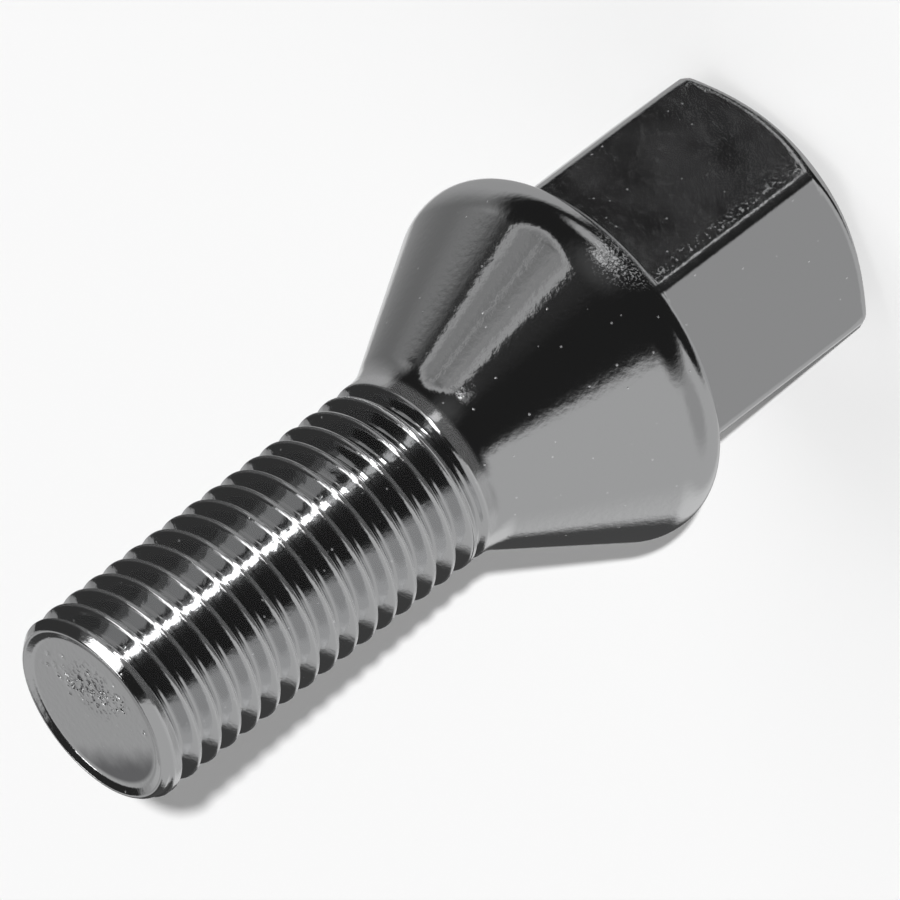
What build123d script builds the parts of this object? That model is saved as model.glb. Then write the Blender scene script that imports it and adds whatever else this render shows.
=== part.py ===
"""Lug bolt for a road wheel, M12 x 1.5 with a 60 degree cone seat and a 17 mm hexagon.

One forged and rolled piece. It stands on the end of its head: Z runs up the axis
from the flat end of the hexagon to the tip of the thread. Sizes are in millimetres.
"""
import os
from math import cos, radians, sin, sqrt, tan

from build123d import *

# Thread
THREAD_DIAMETER = 11.8      # crests of an M12 external thread, inside its limits of size
PITCH = 1.5
THREAD_DEPTH = 0.9          # crest to root
FLANK_ANGLE = 30.0          # of one flank, from the plane across the axis
CREST_SHARE = 1 / 8         # crest flat as a share of the pitch
THREAD_TURNS = 15           # turns at full depth
FADING_TURN = 0.75          # in which the groove climbs out towards the tip
FIRST_GROOVE = 1.17         # tip to the middle of the last groove at full depth, on the +X side

# Shank and tip
SHANK_LENGTH = 25.8         # foot of the cone to the tip
TIP_RIM_SETBACK = 0.5       # from the crests in to the rim
TIP_FACE_SETBACK = 0.6      # from the rim in to the flat face
TIP_FACE_DEPTH = 0.24       # of the face below the rim
TIP_CHAMFER_ANGLE = 50.0    # from the plane across the axis
TIP_ROUNDING = 0.2          # rim into the chamfer

# Seat and collar
SEAT_ANGLE = 60.0           # of the whole cone
COLLAR_DIAMETER = 22.8
FRONT_ROUNDING = 3.2        # cone into the widest part
BACK_ROUNDING = 2.6         # widest part into the back of the collar

# Head
ACROSS_FLATS = 17.0
HEXAGON_LENGTH = 13.7       # flat end to the back of the collar
HEXAGON_TURN = 30.0         # puts one corner towards -Y
CORNER_ROUNDING = 0.9       # long edges between the flats
END_FACE_DIAMETER = 14.5
END_CHAMFER_ANGLE = 35.0    # from the plane across the axis
END_EDGE_ROUNDING = 0.3

# Radii and heights that follow
half_seat = radians(SEAT_ANGLE / 2)
flank_slope = tan(radians(FLANK_ANGLE))
crest_radius = THREAD_DIAMETER / 2
root_radius = crest_radius - THREAD_DEPTH
collar_radius = COLLAR_DIAMETER / 2
back_radius = collar_radius - BACK_ROUNDING
widest_height = HEXAGON_LENGTH + BACK_ROUNDING
front_centre = collar_radius - FRONT_ROUNDING
cone_base_radius = front_centre + FRONT_ROUNDING * cos(half_seat)
cone_base_height = widest_height + FRONT_ROUNDING * sin(half_seat)
foot_height = cone_base_height + (cone_base_radius - crest_radius) / tan(half_seat)
tip_height = foot_height + SHANK_LENGTH
corner_radius = ACROSS_FLATS / sqrt(3)

# The groove is cut in a rod left too long, which the tip then trims
OVERCUT = 0.1               # how far the cutter stands out of the crests
RUNOUT_OVERCUT = 0.025      # the same where the groove has climbed out
SPARE_TURNS = 2             # of rod past the tip, in pitches
last_groove_height = tip_height - FIRST_GROOVE
groove_height = last_groove_height - THREAD_TURNS * PITCH
root_half_width = PITCH * (1 - CREST_SHARE) / 2 - THREAD_DEPTH * flank_slope


def groove_outline(floor_radius, height):
    """Outline of the thread groove in a plane through the axis."""
    reach = THREAD_DEPTH + OVERCUT
    mouth_half_width = root_half_width + reach * flank_slope
    Polyline(
        (floor_radius, height - root_half_width),
        (floor_radius, height + root_half_width),
        (floor_radius + reach, height + mouth_half_width),
        (floor_radius + reach, height - mouth_half_width),
        close=True,
    )


with BuildPart() as lug_bolt:
    # Rod for the shank
    with BuildSketch(Plane.XY.offset(widest_height)):
        Circle(crest_radius)
    extrude(amount=tip_height + SPARE_TURNS * PITCH - widest_height)

    # Thread groove, right-handed
    with BuildLine() as groove_path:
        Helix(PITCH, THREAD_TURNS * PITCH, root_radius, center=(0, 0, groove_height))
    with BuildSketch(Plane.XZ):
        with BuildLine():
            groove_outline(root_radius, groove_height)
        make_face()
    sweep(path=groove_path.wires()[0], is_frenet=True, mode=Mode.SUBTRACT)

    # One more turn, in which the groove climbs out of the rod
    with BuildLine() as runout_path:
        Helix(PITCH, PITCH, root_radius, center=(0, 0, groove_height - PITCH))
    with BuildSketch(Plane.XZ):
        with BuildLine():
            groove_outline(crest_radius + RUNOUT_OVERCUT, groove_height - PITCH)
        make_face()
    with BuildSketch(Plane.XZ):
        with BuildLine():
            groove_outline(root_radius, groove_height)
        make_face()
    sweep(path=runout_path.wires()[0], multisection=True, is_frenet=True, mode=Mode.SUBTRACT)

    # The same towards the tip, in less than a turn
    fade_angle = 360 * FADING_TURN
    fade_height = last_groove_height + FADING_TURN * PITCH
    fade_end = Plane.XZ.rotated((0, 0, fade_angle))
    with BuildLine() as fading_path:
        Helix(PITCH, FADING_TURN * PITCH, root_radius, center=(0, 0, last_groove_height))
    with BuildSketch(Plane.XZ):
        with BuildLine():
            groove_outline(root_radius, last_groove_height)
        make_face()
    with BuildSketch(fade_end):
        with BuildLine():
            groove_outline(crest_radius + RUNOUT_OVERCUT, fade_height)
        make_face()
    sweep(path=fading_path.wires()[0], multisection=True, is_frenet=True, mode=Mode.SUBTRACT)

    # Sunk tip face, its rim and the chamfer trim the rod
    trim_radius = crest_radius + OVERCUT
    rim_radius = crest_radius - TIP_RIM_SETBACK
    face_radius = rim_radius - TIP_FACE_SETBACK
    chamfer_length = (trim_radius - rim_radius) * tan(radians(TIP_CHAMFER_ANGLE))
    face_height = tip_height - TIP_FACE_DEPTH
    with BuildSketch(Plane.XZ) as trim:
        with BuildLine():
            Polyline(
                (0, widest_height),
                (trim_radius, widest_height),
                (trim_radius, tip_height - chamfer_length),
                (rim_radius, tip_height),
                (face_radius, face_height),
                (0, face_height),
                close=True,
            )
        make_face()
        fillet(trim.vertices().group_by(Axis.Y)[-1], radius=TIP_ROUNDING)
    revolve(axis=Axis.Z, mode=Mode.INTERSECT)

    # Hexagon, one corner towards -Y
    with BuildSketch(Plane.XY):
        RegularPolygon(radius=corner_radius, side_count=6, rotation=HEXAGON_TURN)
        fillet(vertices(), radius=CORNER_ROUNDING)
    extrude(amount=widest_height)

    # Chamfer turned on its end
    end_radius = END_FACE_DIAMETER / 2
    chamfer_rise = (corner_radius - end_radius) * tan(radians(END_CHAMFER_ANGLE))
    with BuildSketch(Plane.XZ):
        with BuildLine():
            Polyline(
                (end_radius, 0), (corner_radius, 0), (corner_radius, chamfer_rise), close=True
            )
        make_face()
    revolve(axis=Axis.Z, mode=Mode.SUBTRACT)
    end_edges = lug_bolt.edges().filter_by_position(Axis.Z, 0, chamfer_rise)
    fillet(end_edges, radius=END_EDGE_ROUNDING)

    # Collar and cone seat in one turned outline
    with BuildSketch(Plane.XZ):
        with BuildLine():
            Line((0, HEXAGON_LENGTH), (back_radius, HEXAGON_LENGTH))
            CenterArc((back_radius, widest_height), BACK_ROUNDING, -90, 90)
            CenterArc((front_centre, widest_height), FRONT_ROUNDING, 0, SEAT_ANGLE / 2)
            Polyline(
                (cone_base_radius, cone_base_height),
                (crest_radius, foot_height),
                (0, foot_height),
                (0, HEXAGON_LENGTH),
            )
        make_face()
    revolve(axis=Axis.Z)

lug_bolt.part.label = "lug_bolt"
os.makedirs("parts", exist_ok=True)
export_step(lug_bolt.part, "parts/lug_bolt.step")
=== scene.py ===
from math import atan2, cos, degrees, pi, radians, sin, tan

import bpy
import numpy as np
from mathutils import Matrix, Vector


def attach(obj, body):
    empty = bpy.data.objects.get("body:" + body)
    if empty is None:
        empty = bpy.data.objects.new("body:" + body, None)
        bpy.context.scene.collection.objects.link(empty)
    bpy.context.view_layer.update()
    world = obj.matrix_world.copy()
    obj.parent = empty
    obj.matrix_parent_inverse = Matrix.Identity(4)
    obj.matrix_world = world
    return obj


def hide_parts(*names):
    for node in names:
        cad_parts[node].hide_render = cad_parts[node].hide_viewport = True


# Chrome lug bolt standing on the end of its head, on a plain pale floor.
# The bolt is one closed mesh. Each of its points is found along a ray on the surface of one
# solid formula (thread, tip, cone, collar and hexagon), in millimetres in the part's frame.

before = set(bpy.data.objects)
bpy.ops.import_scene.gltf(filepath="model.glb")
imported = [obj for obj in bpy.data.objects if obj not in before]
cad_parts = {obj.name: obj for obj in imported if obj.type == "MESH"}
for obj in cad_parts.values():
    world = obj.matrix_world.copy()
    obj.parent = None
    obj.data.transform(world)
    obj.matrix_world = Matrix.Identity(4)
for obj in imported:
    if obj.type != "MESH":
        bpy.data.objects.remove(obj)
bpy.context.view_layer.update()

MM = 0.001

# Sizes of the solid
CREST_RADIUS = 5.9
PITCH = 1.5
THREAD_DEPTH = 0.9              # crest to root
FLANK_ANGLE = radians(30)
CREST_SHARE = 1 / 8             # crest flat as a share of the pitch
FULL_TURNS = 15
RUNOUT_CLIMB = 0.925            # the groove's floor rises this much in the turn below those
FADING_TURN = 0.75              # and as much in this share of a turn towards the tip
FIRST_GROOVE = 1.17             # tip to the middle of the last groove at full depth, on the +X side
SHANK_LENGTH = 25.8             # foot of the cone to the tip
TIP_RIM_SETBACK = 0.5           # from the crests in to the rim
TIP_FACE_SETBACK = 0.6          # from the rim in to the flat face
TIP_FACE_DEPTH = 0.24           # of the face below the rim
TIP_CHAMFER_ANGLE = radians(50)
CONE_ANGLE = radians(30)        # from the axis
COLLAR_RADIUS = 11.4
FRONT_ROUNDING = 3.2            # cone into the widest part
BACK_ROUNDING = 2.6             # widest part into the back of the collar
HEXAGON_HEIGHT = 13.7
FLAT_DISTANCE = 8.5             # of each flat from the axis
CORNER_ROUNDING = 0.9
END_FACE_RADIUS = 7.25
END_CHAMFER_ANGLE = radians(35)

# Radii and heights that follow
ROOT_RADIUS = CREST_RADIUS - THREAD_DEPTH
ROOT_HALF_WIDTH = PITCH * (1 - CREST_SHARE) / 2 - THREAD_DEPTH * tan(FLANK_ANGLE)
FRONT_CENTRE = COLLAR_RADIUS - FRONT_ROUNDING
BACK_CENTRE = COLLAR_RADIUS - BACK_ROUNDING
WIDEST_HEIGHT = HEXAGON_HEIGHT + BACK_ROUNDING
CONE_BASE_RADIUS = FRONT_CENTRE + FRONT_ROUNDING * cos(CONE_ANGLE)
CONE_BASE_HEIGHT = WIDEST_HEIGHT + FRONT_ROUNDING * sin(CONE_ANGLE)
FOOT_HEIGHT = CONE_BASE_HEIGHT + (CONE_BASE_RADIUS - CREST_RADIUS) / tan(CONE_ANGLE)
TIP_HEIGHT = FOOT_HEIGHT + SHANK_LENGTH
TIP_RIM_RADIUS = CREST_RADIUS - TIP_RIM_SETBACK
TIP_FACE_RADIUS = TIP_RIM_RADIUS - TIP_FACE_SETBACK
RIM_SLOPE = TIP_FACE_DEPTH / TIP_FACE_SETBACK
GROOVE_HEIGHT = TIP_HEIGHT - FIRST_GROOVE - FULL_TURNS * PITCH  # of the lowest full turn, on the +X side

# How softly the forms run into each other
CREST_SOFTNESS = 0.10
ROOT_SOFTNESS = 0.14
TIP_SOFTNESS = 0.16
FACE_SOFTNESS = 0.06
CHAMFER_SOFTNESS = 0.07
FOOT_SOFTNESS = 0.45
END_SOFTNESS = 0.4
COLLAR_SOFTNESS = 0.16

# Shallow pits that the sheared end of the wire left in the tip face: a patch and a few strays
PATCH_START = np.array([2.9, 0.9])
PATCH_END = np.array([-0.7, -3.7])
PATCH_SPREAD = 0.55             # of the pits to either side of that line
PATCH_PITS = 95
STRAY_PITS = [(3.9, 1.5), (3.6, 1.1), (4.1, 0.3), (3.5, -0.9), (-2.44, -3.33)]
PIT_RADII = 0.08, 0.14
PIT_DEPTHS = 0.02, 0.06
PIT_REACH = 0.5                 # above and below the face, within which the pits count

dice = np.random.default_rng(7)
patch_along = PATCH_END - PATCH_START
patch_across = np.array([-patch_along[1], patch_along[0]]) / np.hypot(*patch_along)
pit_places = []
for _ in range(PATCH_PITS):
    on_line = PATCH_START + patch_along * dice.uniform()
    pit_places.append(on_line + patch_across * PATCH_SPREAD * dice.normal())
pits = [(*place, dice.uniform(*PIT_RADII), dice.uniform(*PIT_DEPTHS)) for place in pit_places + STRAY_PITS]


def face_relief(x, y):
    """Depth of the pits in the sunk tip face."""
    depth = np.zeros_like(x)
    on_face = np.hypot(x, y) < TIP_FACE_RADIUS
    for pit_x, pit_y, radius, deepest in pits:
        apart = (x[on_face] - pit_x) ** 2 + (y[on_face] - pit_y) ** 2
        depth[on_face] += deepest * np.exp(-apart / radius ** 2)
    return depth


def smooth_max(a, b, softness):
    share = np.clip(0.5 + 0.5 * (a - b) / softness, 0, 1)
    return b + (a - b) * share + softness * share * (1 - share)


def smooth_min(a, b, softness):
    return -smooth_max(-a, -b, softness)


def threaded_rod(r, turn, z):
    """Distance outside the thread, with turn the angle round the axis as a share of a turn."""
    groove = np.round((z - GROOVE_HEIGHT) / PITCH - turn)
    along = groove + turn
    off_middle = np.abs(z - GROOVE_HEIGHT - PITCH * along)
    climbed = np.maximum(-along, 0) + np.maximum(along - FULL_TURNS, 0) / FADING_TURN
    floor = ROOT_RADIUS + RUNOUT_CLIMB * climbed
    flank = (r - floor) * sin(FLANK_ANGLE) - (off_middle - ROOT_HALF_WIDTH) * cos(FLANK_ANGLE)
    grooved = smooth_min(r - floor, flank, ROOT_SOFTNESS)
    return smooth_max(r - CREST_RADIUS, grooved, CREST_SOFTNESS)


def tip(r, x, y, z):
    """Distance above the sunk face and its rim, and outside the chamfer."""
    past_rim, above_rim = r - TIP_RIM_RADIUS, z - TIP_HEIGHT
    face = above_rim + TIP_FACE_DEPTH
    near_face = np.abs(face) < PIT_REACH
    face[near_face] += face_relief(x[near_face], y[near_face])
    lip = above_rim - past_rim * RIM_SLOPE
    chamfer = past_rim * sin(TIP_CHAMFER_ANGLE) + above_rim * cos(TIP_CHAMFER_ANGLE)
    return smooth_max(smooth_min(face, lip, FACE_SOFTNESS), chamfer, TIP_SOFTNESS)


def turned_head(r, z):
    """Distance outside the cone and the collar with its two roundings."""
    cone = (r - CONE_BASE_RADIUS) * cos(CONE_ANGLE) + (z - CONE_BASE_HEIGHT) * sin(CONE_ANGLE)
    rise = z - WIDEST_HEIGHT
    front = np.hypot(r - FRONT_CENTRE, rise) - FRONT_ROUNDING
    back = np.hypot(r - BACK_CENTRE, rise) - BACK_ROUNDING
    on_front = (rise >= 0) & (rise <= (r - FRONT_CENTRE) * tan(CONE_ANGLE))
    below = np.where(r > BACK_CENTRE, back, HEXAGON_HEIGHT - z)
    return np.where(rise < 0, below, np.where(on_front, front, cone))


def hexagon_bar(r, angle, z):
    """Distance outside the hexagon, with its rounded corners and the chamfer on its end."""
    sixth = pi / 3
    fold = np.abs((angle + sixth / 2) % sixth - sixth / 2)
    across, along = r * np.cos(fold), r * np.sin(fold)
    inner = FLAT_DISTANCE - CORNER_ROUNDING
    past_flat, past_corner = across - inner, along - inner * tan(sixth / 2)
    at_corner = (past_corner > 0) & (past_flat > 0)
    flats = np.where(at_corner, np.hypot(past_flat, past_corner), past_flat) - CORNER_ROUNDING
    chamfer = (r - END_FACE_RADIUS) * sin(END_CHAMFER_ANGLE) - z * cos(END_CHAMFER_ANGLE)
    ended = smooth_max(smooth_max(flats, chamfer, END_SOFTNESS), -z, END_SOFTNESS)
    return np.maximum(ended, z - WIDEST_HEIGHT)


def outside(x, y, z):
    """Distance outside the bolt, negative within it."""
    r, angle = np.hypot(x, y), np.arctan2(y, x) % (2 * pi)
    rod = smooth_max(threaded_rod(r, angle / (2 * pi), z), tip(r, x, y, z), CHAMFER_SOFTNESS)
    rod = np.maximum(rod, WIDEST_HEIGHT - z)
    turned = smooth_min(rod, turned_head(r, z), FOOT_SOFTNESS)
    return smooth_min(turned, hexagon_bar(r, angle, z), COLLAR_SOFTNESS)


# Columns of rays round the axis, closer together at the hexagon's corners
CORNER_SPAN = 4.5               # degrees to each side of a corner
corner_steps = np.linspace(-CORNER_SPAN, CORNER_SPAN, 11)[:-1]
flat_steps = np.linspace(CORNER_SPAN, 60 - CORNER_SPAN, 23)[:-1]
column_degrees = [30 + 60 * k + steps for k in range(6) for steps in (corner_steps, flat_steps)]
column_angles = np.radians(np.sort(np.concatenate(column_degrees) % 360))

# Places that rays start from on the axis, and limits of the rows that follow the thread
FACE_REACH = 3.2                # below the tip, for rays that rise to its face and edge
FAN_HEIGHT = 18.0               # for rays that fall to the collar
END_REACH = 4.0                 # for rays that fall to the end of the head
CHAMFER_REACH = 1.33            # from the tip down to the first row that follows the thread
THREAD_TOP = TIP_HEIGHT - CHAMFER_REACH
THREAD_FOOT = 27.15


def level_rays(heights):
    """Rays straight out from the axis, as (height of the start, slope)."""
    return [(height, 0.0) for height in heights]


def fanned_rays(start, slopes):
    """Rays that fan out from one place on the axis."""
    return [(start, slope) for slope in slopes]


# Rays that every column has, from the tip down to the thread and from its foot to the head's end.
# Radii and heights are in millimetres and slopes in degrees, closer together where the form bends
face_radii = np.concatenate([np.linspace(0.08, 4.6, 52), np.linspace(4.65, 5.36, 16)])
face_depths = np.clip((TIP_RIM_RADIUS - face_radii) * RIM_SLOPE, 0.02, TIP_FACE_DEPTH)
face_slopes = np.arctan2(FACE_REACH - face_depths, face_radii)
edge_slopes = np.linspace(atan2(FACE_REACH - 0.03, 5.39), atan2(FACE_REACH - 0.19, 5.56), 14)
collar_slopes = [np.linspace(0, -25.6, 32)[1:], np.linspace(-25.9, -27.6, 8), np.linspace(-28.2, -43, 5)]
end_slopes = [np.linspace(-14.5, -31.0, 28), np.linspace(-33, -80, 8)]
tip_rays = fanned_rays(TIP_HEIGHT - FACE_REACH, [*face_slopes, *edge_slopes])
tip_rays += level_rays(TIP_HEIGHT - np.linspace(0.27, CHAMFER_REACH, 26))
head_rays = level_rays(np.linspace(THREAD_FOOT, 26.2, 12))
head_rays += level_rays(np.linspace(25.9, FAN_HEIGHT, 14))
head_rays += fanned_rays(FAN_HEIGHT, np.radians(np.concatenate(collar_slopes)))
head_rays += level_rays(np.linspace(7.8, 2.0, 6))
head_rays += fanned_rays(END_REACH, np.radians(np.concatenate(end_slopes)))

# Rows that follow the thread: places across one pitch, from the middle of the groove
ROWS = [-0.75, -0.70, -0.66, -0.61, -0.50, -0.30, -0.20, -0.13, -0.06,
        0.06, 0.13, 0.20, 0.30, 0.50, 0.61, 0.66, 0.70]
ROW_MARGIN = 0.02
LOWEST_GROOVE = -4
HIGHEST_GROOVE = int((THREAD_TOP - GROOVE_HEIGHT) / PITCH) + 1


def column_rays(turn):
    """Rays down one column, each with a label that its neighbour in the next column shares."""
    rows = []
    for groove in range(LOWEST_GROOVE, HIGHEST_GROOVE + 1):
        for k, place in enumerate(ROWS):
            z = GROOVE_HEIGHT + PITCH * (groove + turn) + place
            if THREAD_FOOT + ROW_MARGIN < z < THREAD_TOP - ROW_MARGIN:
                rows.append(("thread", groove * len(ROWS) + k, z, 0.0))
    rows.sort(key=lambda row: -row[2])
    above = [("above", k, *ray) for k, ray in enumerate(tip_rays)]
    below = [("below", k, *ray) for k, ray in enumerate(head_rays)]
    return above + rows + below


columns = [column_rays(angle / (2 * pi)) for angle in column_angles]
starts, slopes, angles, first = [], [], [], []
for angle, column in zip(column_angles, columns):
    first.append(len(starts))
    starts += [ray[2] for ray in column]
    slopes += [ray[3] for ray in column]
    angles += [angle] * len(column)
starts, slopes, angles = map(np.array, (starts, slopes, angles))


def along_ray(t):
    """The point of each ray that lies t from its start."""
    r = t * np.cos(slopes)
    return r * np.cos(angles), r * np.sin(angles), starts + t * np.sin(slopes)


# Where each ray leaves the solid, found by halving
LONGEST_RAY = 16.0
HALVINGS = 44
near, far = np.zeros(len(starts)), np.full(len(starts), LONGEST_RAY)
for _ in range(HALVINGS):
    middle = (near + far) / 2
    within = outside(*along_ray(middle)) < 0
    near, far = np.where(within, middle, near), np.where(within, far, middle)
surface = np.stack(along_ray((near + far) / 2), 1)
top_centre, end_centre = len(surface), len(surface) + 1
points = np.vstack([surface, [0, 0, TIP_HEIGHT - TIP_FACE_DEPTH], [0, 0, 0]])

# Normals, from how the formula changes to either side
STEP = 2e-4
change = [outside(*(points + STEP * side).T) - outside(*(points - STEP * side).T) for side in np.eye(3)]
normals = np.stack(change, 1)
normals /= np.linalg.norm(normals, axis=1)[:, None]

# Faces between each column and the next. Past the last column the thread is one groove higher
faces = []
for left in range(len(columns)):
    right = (left + 1) % len(columns)
    shift = len(ROWS) if right == 0 else 0
    left_at = {ray[:2]: first[left] + k for k, ray in enumerate(columns[left])}
    right_at = {(ray[0], ray[1] - shift * (ray[0] == "thread")): first[right] + k
                for k, ray in enumerate(columns[right])}
    shared = [label for label in left_at if label in right_at]
    faces.append((top_centre, left_at[shared[0]], right_at[shared[0]]))
    for upper, lower in zip(shared, shared[1:]):
        down = list(range(left_at[upper], left_at[lower] + 1))
        up = list(range(right_at[lower], right_at[upper] - 1, -1))
        faces.append(tuple(down + up))
    faces.append((left_at[shared[-1]], end_centre, right_at[shared[-1]]))

mesh = bpy.data.meshes.new("chromed_bolt")
mesh.from_pydata((points * MM).tolist(), [], faces)
mesh.shade_smooth()
mesh.normals_split_custom_set_from_vertices(normals.tolist())
bolt = bpy.data.objects.new("chromed_bolt", mesh)
bpy.context.collection.objects.link(bolt)


class Field:
    """A number that varies from place to place, worked out by the nodes of one tree."""

    def __init__(self, tree, socket):
        self.tree = tree
        self.socket = socket

    def worked_out(self, operation, *values):
        node = self.tree.nodes.new("ShaderNodeMath")
        node.operation = operation
        for socket, value in zip(node.inputs, values):
            if isinstance(value, Field):
                self.tree.links.new(value.socket, socket)
            else:
                socket.default_value = value
        return Field(self.tree, node.outputs[0])

    def __add__(self, other):
        return self.worked_out("ADD", self, other)

    def __sub__(self, other):
        return self.worked_out("SUBTRACT", self, other)

    def __rsub__(self, other):
        return self.worked_out("SUBTRACT", other, self)

    def __mul__(self, other):
        return self.worked_out("MULTIPLY", self, other)

    def __truediv__(self, other):
        return self.worked_out("DIVIDE", self, other)

    def __pow__(self, other):
        return self.worked_out("POWER", self, other)

    def __abs__(self):
        return self.worked_out("ABSOLUTE", self)

    def falling(self, start, end):
        """1 before start, 0 after end, smooth between them."""
        node = self.tree.nodes.new("ShaderNodeMapRange")
        node.interpolation_type = "SMOOTHSTEP"
        self.tree.links.new(self.socket, node.inputs["Value"])
        node.inputs["From Min"].default_value = start
        node.inputs["From Max"].default_value = end
        node.inputs["To Min"].default_value = 1.0
        node.inputs["To Max"].default_value = 0.0
        return Field(self.tree, node.outputs["Result"])

    def rising(self, start, end):
        """0 before start, 1 after end, smooth between them."""
        return 1.0 - self.falling(start, end)


def noise(tree, vector, scale, detail):
    """Cloudy field between 0 and 1."""
    node = tree.nodes.new("ShaderNodeTexNoise")
    node.inputs["Scale"].default_value = scale
    node.inputs["Detail"].default_value = detail
    tree.links.new(vector, node.inputs["Vector"])
    return Field(tree, node.outputs["Fac"])


def parts_of(tree, vector):
    """The x, y and z of a vector, each as a field."""
    node = tree.nodes.new("ShaderNodeSeparateXYZ")
    tree.links.new(vector, node.inputs[0])
    return [Field(tree, socket) for socket in node.outputs]


def principled(name):
    material = bpy.data.materials.new(name)
    material.use_nodes = True
    return material, material.node_tree, material.node_tree.nodes["Principled BSDF"]


# Finish of the chrome. Places are in millimetres, scales of noise in cells a metre, and limits
# are where a noise starts and ends to count
PLATE_COLOUR = 0.86, 0.865, 0.872, 1
# Colour of the dull pocks on the tip face, and of the painted shade (a darker reflection painted on it)
# beyond a slanted line
DULL_AND_SHADE_COLOUR = 0.3, 0.3, 0.31, 1
PLATE_ROUGHNESS = 0.09
WAVE_HEIGHT = 1e-5              # metres
WAVE_SCALE = 2600.0
GRAIN_SCALE = 7000.0

# Specks of dust and nicks, no wider than a tenth of a millimetre
SPECK_SCALE = 1500.0
SPECK_RADII = 0.06, 0.13        # of a cell, in which a speck fades out
SPECK_SHARES = 0.28, 0.30       # of the cells that hold one
SPECK_WEAR = 0.12               # how much of the metal it covers, here and below
SPECK_BUMP = 0.6                # how high it stands against the waves of the plate, here and below

# Flat of the hexagon that the wrench has scuffed
SCUFFED_SIDE = radians(-60)     # direction that it faces
FLAT_FADE = 0.35, 0.05          # distances inside the flat in which the scuffs fade in
COLLAR_FADE = 0.3               # height above the back of the collar in which they end
HAZE_SCALE, HAZE_LIMITS = 300.0, (0.35, 0.65)
SCRATCH_LIMITS = 0.60, 0.63
SCRATCH_TURN = 0.3, 0.2, 0.5
SCRATCH_STRETCH = 0.06, 1.0, 1.0
NICK_SCALE, NICK_LIMITS = 4500.0, (0.54, 0.62)
NICKED_FROM, NICKED_TO = (3.4, 4.2), (4.25, 4.4)    # fades of the nicked band, towards the corner
EVEN_WEAR = 0.002
HAZE_WEAR = 0.022
SCRATCH_WEAR = 0.007
NICK_WEAR = 0.13
SCUFF_BUMP = 0.6                # share of the grain's

# Rubbed crests of the thread
CREST_FADE = 0.10, 0.03         # distances inside the crests in which the rubbing fades in
FOOT_FADE = 0.10, 0.20          # distances outside them in which it ends
RUBBED_FOOT = 27.0, 27.4        # heights in which it begins
CREST_WEAR = 0.045

# Rough spot on the back of the collar
ROUGH_SPOT = 2.6, -10.3, 14.9
ROUGH_RADII = 1.2, 2.6
CRUMB_LIMITS = 0.52, 0.60
CRUMB_WEAR = 0.16
GRAIN_BUMP = 2.4

# Tip face: painted shade, a darker reflection painted beyond a slanted line, and duller round the pits
FACE_FADE = 0.4, 0.3            # depths below the tip in which the face begins
SHADE_RADII = 4.4, 4.7
SHADE_POINT = -1.21, 3.89
SHADE_ACROSS = -0.948, 0.316
SHADE_SOFTNESS = 2.0
SHADE_NOISE_SCALE = 900.0
POCKED_MIDDLE = 1.0, -1.5
POCKED_RADII = 1.0, 2.3
POCK_SCALE, POCK_LIMITS = 4200.0, (0.38, 0.45)
POCK_BUMP = 3.5

chrome, tree, shader = principled("chrome_plate")
place = tree.nodes.new("ShaderNodeTexCoord").outputs["Object"]
at_x, at_y, at_z = [side * (1 / MM) for side in parts_of(tree, place)]
grain = noise(tree, place, GRAIN_SCALE, 3.0)

# Specks
cells = tree.nodes.new("ShaderNodeTexVoronoi")
cells.inputs["Scale"].default_value = SPECK_SCALE
tree.links.new(place, cells.inputs["Vector"])
chance = tree.nodes.new("ShaderNodeSeparateColor")
tree.links.new(cells.outputs["Color"], chance.inputs[0])
near_middle = Field(tree, cells.outputs["Distance"]).falling(*SPECK_RADII)
specks = near_middle * Field(tree, chance.outputs[0]).falling(*SPECK_SHARES)

# Haze, long scratches and nicks by the corner of the scuffed flat
stretched = tree.nodes.new("ShaderNodeMapping")
stretched.inputs["Rotation"].default_value = SCRATCH_TURN
stretched.inputs["Scale"].default_value = SCRATCH_STRETCH
tree.links.new(place, stretched.inputs["Vector"])
scratches = noise(tree, stretched.outputs[0], WAVE_SCALE, 1.0).rising(*SCRATCH_LIMITS)
haze = noise(tree, place, HAZE_SCALE, 6.0).rising(*HAZE_LIMITS) * grain
nicks = noise(tree, place, NICK_SCALE, 4.0).rising(*NICK_LIMITS)
from_axis = at_x * cos(SCUFFED_SIDE) + at_y * sin(SCUFFED_SIDE)
to_corner = at_x * sin(SCUFFED_SIDE) - at_y * cos(SCUFFED_SIDE)
by_corner = to_corner.rising(*NICKED_FROM) * to_corner.falling(*NICKED_TO)
on_side = from_axis.rising(*(FLAT_DISTANCE - inside for inside in FLAT_FADE))
on_side = on_side * at_z.falling(HEXAGON_HEIGHT, HEXAGON_HEIGHT + COLLAR_FADE)
scuffs = haze * HAZE_WEAR + EVEN_WEAR + scratches * SCRATCH_WEAR + by_corner * nicks * NICK_WEAR

# Crests rubbed a little, and a rough spot on the back of the collar
off_axis = (at_x ** 2 + at_y ** 2) ** 0.5
on_crest = off_axis.rising(*(CREST_RADIUS - inside for inside in CREST_FADE))
on_crest = on_crest * off_axis.falling(*(CREST_RADIUS + past for past in FOOT_FADE))
rubbed = on_crest * at_z.rising(*RUBBED_FOOT)
off_spot = (at_x - ROUGH_SPOT[0]) ** 2 + (at_y - ROUGH_SPOT[1]) ** 2 + (at_z - ROUGH_SPOT[2]) ** 2
roughened = (off_spot ** 0.5).falling(*ROUGH_RADII)
crumbs = roughened * grain.rising(*CRUMB_LIMITS)

worn = specks * SPECK_WEAR + on_side * scuffs + rubbed * CREST_WEAR + crumbs * CRUMB_WEAR
tree.links.new((1.0 - worn).socket, shader.inputs["Metallic"])
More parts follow.
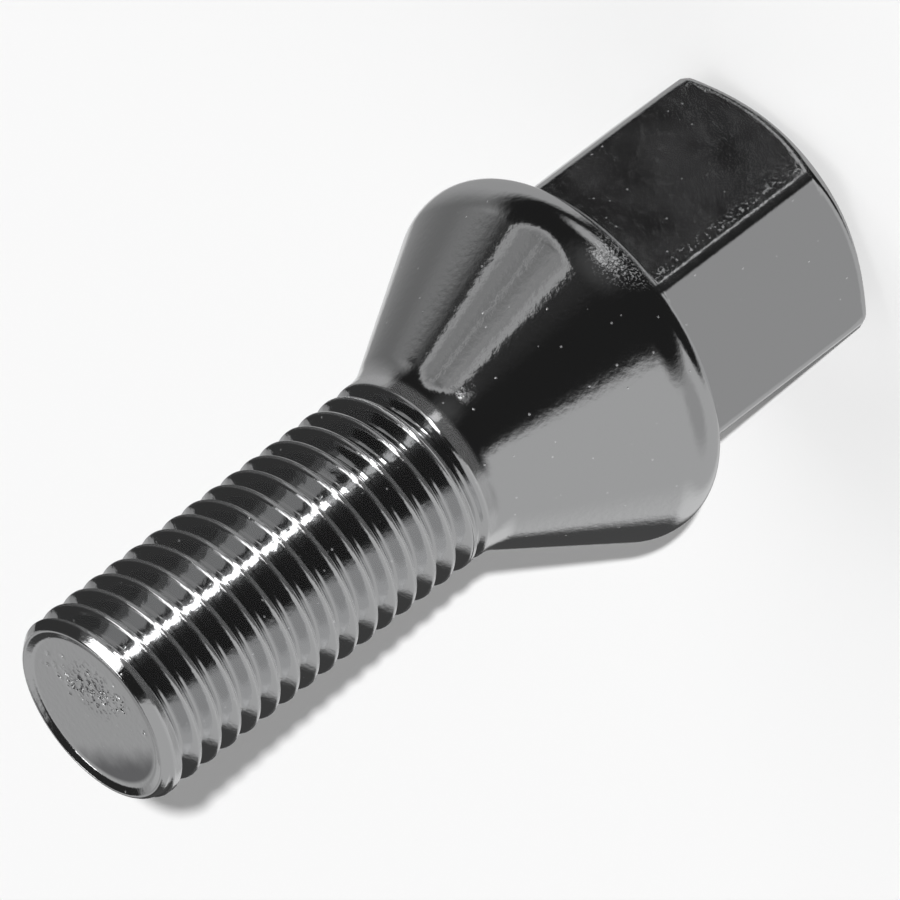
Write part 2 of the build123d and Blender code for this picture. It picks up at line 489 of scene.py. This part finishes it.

# Painted shade: a darker reflection painted on the tip face beyond a slanted line, and dull pocks round
# the pits
shade_start = SHADE_POINT[0] * SHADE_ACROSS[0] + SHADE_POINT[1] * SHADE_ACROSS[1]
past_line = at_x * SHADE_ACROSS[0] + at_y * SHADE_ACROSS[1] - shade_start
painted_shade = (past_line + noise(tree, place, SHADE_NOISE_SCALE, 4.0)).rising(0.0, SHADE_SOFTNESS)
on_face = at_z.rising(*(TIP_HEIGHT - depth for depth in FACE_FADE))
painted_shade = painted_shade * on_face * off_axis.falling(*SHADE_RADII)
off_pits = (at_x - POCKED_MIDDLE[0]) ** 2 + (at_y - POCKED_MIDDLE[1]) ** 2
in_pits = on_face * (off_pits ** 0.5).falling(*POCKED_RADII)
pocks = noise(tree, place, POCK_SCALE, 2.0)
dull_and_shaded = painted_shade.worked_out("MAXIMUM", painted_shade, in_pits * pocks.falling(*POCK_LIMITS))
plate = tree.nodes.new("ShaderNodeMix")
plate.data_type = "RGBA"
plate.inputs["A"].default_value = PLATE_COLOUR
plate.inputs["B"].default_value = DULL_AND_SHADE_COLOUR
tree.links.new(dull_and_shaded.socket, plate.inputs["Factor"])
tree.links.new(plate.outputs["Result"], shader.inputs["Base Color"])
shader.inputs["Roughness"].default_value = PLATE_ROUGHNESS

# Plated forgings are a little wavy
waves = noise(tree, place, WAVE_SCALE, 3.0) + specks * SPECK_BUMP
waves = waves + (on_side * SCUFF_BUMP + roughened) * (grain * GRAIN_BUMP)
waves = waves + in_pits * (pocks * POCK_BUMP)
bump = tree.nodes.new("ShaderNodeBump")
bump.inputs["Distance"].default_value = WAVE_HEIGHT
tree.links.new(waves.socket, bump.inputs["Height"])
tree.links.new(bump.outputs["Normal"], shader.inputs["Normal"])
mesh.materials.append(chrome)

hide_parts("lug_bolt")
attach(bolt, "root")

# Floor, which the chrome doesn't mirror
FLOOR_REACH = 4.0               # metres to each side
PAPER_COLOUR = 0.9, 0.9, 0.9, 1
floor_mesh = bpy.data.meshes.new("floor")
floor_corners = [(-FLOOR_REACH, -FLOOR_REACH, 0), (FLOOR_REACH, -FLOOR_REACH, 0),
                 (FLOOR_REACH, FLOOR_REACH, 0), (-FLOOR_REACH, FLOOR_REACH, 0)]
floor_mesh.from_pydata(floor_corners, [], [(0, 1, 2, 3)])
floor = bpy.data.objects.new("floor", floor_mesh)
bpy.context.collection.objects.link(floor)
floor.visible_glossy = False
paper, tree, shader = principled("paper")
shader.inputs["Base Color"].default_value = PAPER_COLOUR
shader.inputs["Roughness"].default_value = 1.0
shader.inputs["Specular IOR Level"].default_value = 0.0
floor_mesh.materials.append(paper)

# Studio round the bolt: a dim room with soft panels, which its chrome mirrors
STUDIO_LEVEL = 0.65             # scales the room, its panels and the cards together
ROOM_TONE = 0.58
MOTTLING_SCALE = 5.0
MOTTLING_TONES = 0.06, 0.45     # darkest, and how much its noise adds
world = bpy.data.worlds.new("studio")
bpy.context.scene.world = world
world.use_nodes = True
tree = world.node_tree
background = tree.nodes["Background"]
direction = tree.nodes.new("ShaderNodeTexCoord").outputs["Generated"]
east, north, upward = parts_of(tree, direction)
azimuth = east.worked_out("ARCTAN2", north, east) * degrees(1)
elevation = upward.worked_out("ARCSINE", upward) * degrees(1)
mottling = noise(tree, direction, MOTTLING_SCALE, 2.0) * MOTTLING_TONES[1] + MOTTLING_TONES[0]

# Each panel: its middle and half size in azimuth and elevation, brightness, soft border as a
# share of the size, turn, and squareness, which is 2 for an oval and more for a rectangle
PANELS = [
    ((-160, -28), (26, 16), 0.44, 0.4, 0, 2),       # floor that a side of the hexagon mirrors
    ((48, -16), (50, 34), 0.22, 0.4, 12, 4),        # dim wall and the floor before it
    ((46, -40), (52, 26), 0.48, 0.6, 0, 4),
    ((84, -22), (10, 14), 1.0, 0.5, 0, 2),
    ((-62, -62), (74, 62), 0.02, 0.13, 0, 8),       # dark side, round the camera
    ((-58, -2), (61, 52), 0.02, 0.13, 0, 8),
    ((-84, 60), (33, 60), 0.02, 0.2, 0, 8),
    ((-60, -8), (13, 30), 0.08, 0.8, 0, 2),
    ((22, 38), (27, 26), 0.06, 0.3, 0, 4),
    ((75, 4), (13, 15), 0.6, 0.5, 0, 2),
    ((0, 92), (400, 15), 0.03, 0.3, 0, 8),          # dark ceiling and dark straight below
    ((0, -92), (400, 28), 0.02, 0.14, 0, 8),
    ((78, 63), (38, 17), 0.03, 0.25, 0, 3),         # dark over the tip, with a lamp, for its rim
    ((62, 40), (12, 14), 0.03, 0.3, 0, 3),
    ((81, 50), (5, 4), 3.0, 0.3, 0, 2),
    ((-27, 34), (25, 34), 0.5, 0.05, 0, 1.6),       # window, brighter at its frame
    ((-26, 35), (20, 29), mottling, 0.15, 0, 1.6),
    ((-27, 26), (0.7, 22), 0.5, 0.5, 0, 2),
    ((-29, 60), (32, 20), 2.4, 0.12, 0, 6),         # lamps above it
    ((15, 74), (20, 6), 2.0, 0.4, 0, 2),
    ((-57, -28), (5, 9), 0.8, 0.5, 0, 2),           # glints low on the near side
    ((-38, -50), (22, 12), 0.5, 0.4, 0, 2),
    ((128, -22), (32, 10), 0.85, 0.5, 38, 2),       # bright floor and the shaded side above it
    ((112, 2), (17, 30), 0.07, 0.2, -34, 3),
    ((115, -12), (22, 10), 0.09, 0.3, 42, 3),
]


def with_panel(tone, middle, half_size, brightness, edge, turn, squareness):
    """Lays a soft panel over what the studio shows so far."""
    aside = azimuth.worked_out("WRAP", azimuth - middle[0], 180.0, -180.0)
    over = elevation - middle[1]
    along = aside * cos(radians(turn)) + over * sin(radians(turn))
    across = over * cos(radians(turn)) - aside * sin(radians(turn))
    wide = (abs(along) / half_size[0]) ** squareness
    high = (abs(across) / half_size[1]) ** squareness
    cover = ((wide + high) ** (1 / squareness)).falling(1 - edge, 1 + edge)
    return (1.0 - cover) * tone + cover * brightness


tone = ROOM_TONE
for panel in PANELS:
    tone = with_panel(tone, *panel)
tree.links.new((tone * STUDIO_LEVEL).socket, background.inputs["Strength"])
background.inputs["Color"].default_value = (1, 1, 1, 1)

# Curved cards round the thread, which only show in reflections: name, radius, azimuths,
# heights, number of flat strips and brightness
CARDS = [
    ("thread_flag", 14.0, (-17, 40), (28, 62), 12, 0.05),
    ("thread_haze", 14.2, (-50, -28), (31, 60), 4, 0.3),
    ("thread_dusk", 14.2, (-28, -17), (31, 60), 3, 0.1),
    ("thread_glow", 15.8, (-71, -54), (31, 60), 4, 0.22),
    ("thread_strip", 15.7, (-66.2, -59.6), (31.5, 60), 2, 4.0),
]


def studio_card(name, radius, azimuths, heights, strips, brightness):
    """Hangs one glowing card."""
    corners = [Vector((radius * cos(a), radius * sin(a), height)) * MM
               for a in np.radians(np.linspace(*azimuths, strips + 1)) for height in heights]
    quads = [(2 * k, 2 * k + 2, 2 * k + 3, 2 * k + 1) for k in range(strips)]
    card_mesh = bpy.data.meshes.new(name)
    card_mesh.from_pydata(corners, [], quads)
    card = bpy.data.objects.new(name, card_mesh)
    bpy.context.collection.objects.link(card)
    material = bpy.data.materials.new(name)
    material.use_nodes = True
    nodes = material.node_tree.nodes
    nodes.clear()
    glow = nodes.new("ShaderNodeEmission")
    glow.inputs["Strength"].default_value = brightness * STUDIO_LEVEL
    result = nodes.new("ShaderNodeOutputMaterial")
    material.node_tree.links.new(glow.outputs[0], result.inputs[0])
    card_mesh.materials.append(material)
    card.visible_camera = card.visible_diffuse = card.visible_transmission = card.visible_shadow = False


for card_values in CARDS:
    studio_card(*card_values)

# Key lamp for the floor's shadow
KEY_TRAVEL = Vector((-0.094, 1.98, -1.0))
KEY_STRENGTH = 5.0
KEY_WIDTH = radians(0.5)        # as seen from the bolt
key_light = bpy.data.lights.new("key", "SUN")
key_light.energy = KEY_STRENGTH
key_light.angle = KEY_WIDTH
key = bpy.data.objects.new("key", key_light)
bpy.context.collection.objects.link(key)
key.rotation_euler = KEY_TRAVEL.to_track_quat("-Z", "Y").to_euler()
key.visible_glossy = False

# Camera at the photograph's angle, far off with a long lens
AIM = Vector((-0.537, 11.792, 18.902)) * MM
CAMERA_AZIMUTH = radians(-88.873)
CAMERA_ELEVATION = radians(27.847)
CAMERA_ROLL = radians(-127.17)
CAMERA_DISTANCE = 840 * MM
across_floor = cos(CAMERA_ELEVATION)
outward = Vector((across_floor * cos(CAMERA_AZIMUTH), across_floor * sin(CAMERA_AZIMUTH),
                  sin(CAMERA_ELEVATION)))
level = (-outward).cross(Vector((0, 0, 1))).normalized()
right = Matrix.Rotation(CAMERA_ROLL, 4, outward) @ level
up = outward.cross(right)
lens = bpy.data.cameras.new("camera")
lens.lens = 600
lens.sensor_width = 36
lens.clip_end = 20
camera = bpy.data.objects.new("camera", lens)
bpy.context.collection.objects.link(camera)
turned = Matrix((right, up, outward)).transposed().to_4x4()
camera.matrix_world = Matrix.Translation(AIM + outward * CAMERA_DISTANCE) @ turned
bpy.context.scene.camera = camera

bpy.context.scene.view_settings.view_transform = "Standard"
